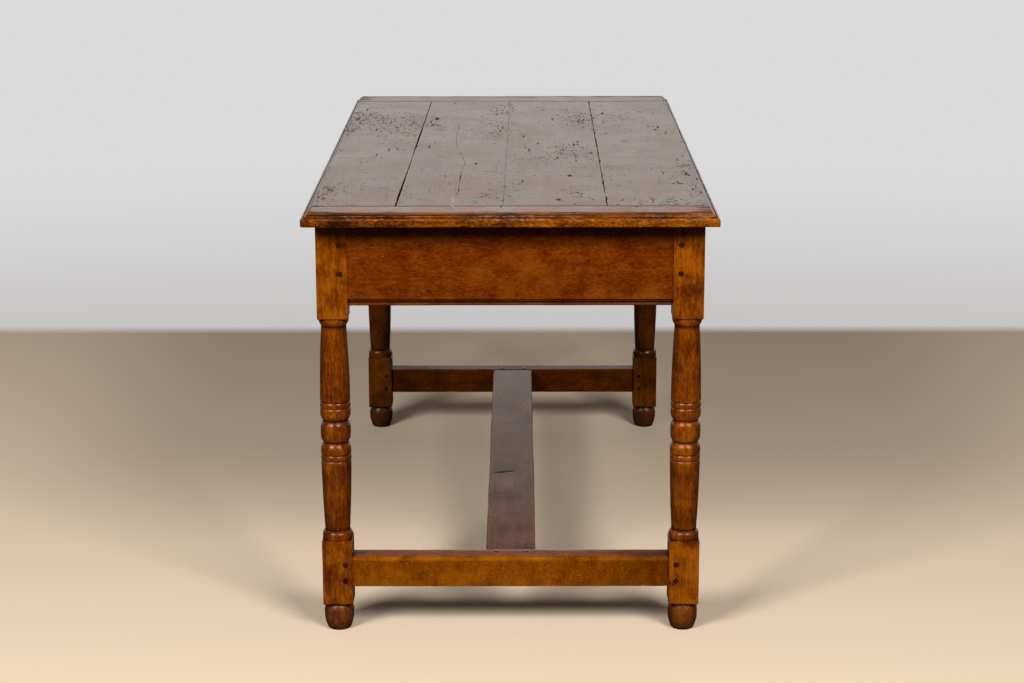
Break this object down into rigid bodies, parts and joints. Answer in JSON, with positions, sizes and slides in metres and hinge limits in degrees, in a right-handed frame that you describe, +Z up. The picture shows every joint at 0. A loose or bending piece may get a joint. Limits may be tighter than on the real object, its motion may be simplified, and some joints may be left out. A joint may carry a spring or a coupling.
{
  "type": "dining table",
  "caption": "Long farmhouse table: planked top with breadboard ends and a moulded edge, pegged aprons, turned legs on ball feet and an H stretcher.",
  "frame": {"origin": "on the floor, under the middle of the table", "axes": "+X across the table to the right seen from the front end, +Y along the table to the back end, +Z up"},
  "size_m": [0.706, 1.44, 0.76],
  "materials": {
    "leg_wood": "old waxed fruitwood, golden brown on the blocks, darker on the turnings",
    "rail_wood": "old waxed wood, orange brown, soft sheen",
    "top_wood": "worn and waxed old boards, dark brown, pitted, satin sheen",
    "peg_wood": "dark oak, end grain showing",
    "button_wood": "plain unfinished hardwood",
    "screw_steel": "dull old steel"
  },
  "bodies": {
    "root": {"leg_front_left": "leg_wood", "leg_front_right": "leg_wood", "leg_back_left": "leg_wood", "leg_back_right": "leg_wood", "apron_front": "rail_wood", "apron_back": "rail_wood", "apron_left": "rail_wood", "apron_right": "rail_wood", "stretcher_front": "rail_wood", "stretcher_back": "rail_wood", "stretcher_medial": "rail_wood", "top_board_left_outer": "top_wood", "top_board_left_inner": "top_wood", "top_board_right_inner": "top_wood", "top_board_right_outer": "top_wood", "breadboard_front": "top_wood", "breadboard_back": "top_wood", "pegs_apron_front": "peg_wood", "pegs_apron_back": "peg_wood", "pegs_apron_left": "peg_wood", "pegs_apron_right": "peg_wood", "pegs_stretcher_front": "peg_wood", "pegs_stretcher_back": "peg_wood", "pegs_medial_front": "peg_wood", "pegs_medial_back": "peg_wood", "top_buttons_front": "button_wood", "top_buttons_back": "button_wood", "top_buttons_left": "button_wood", "top_buttons_right": "button_wood", "button_screws": "screw_steel"}
  },
  "joints": []
}
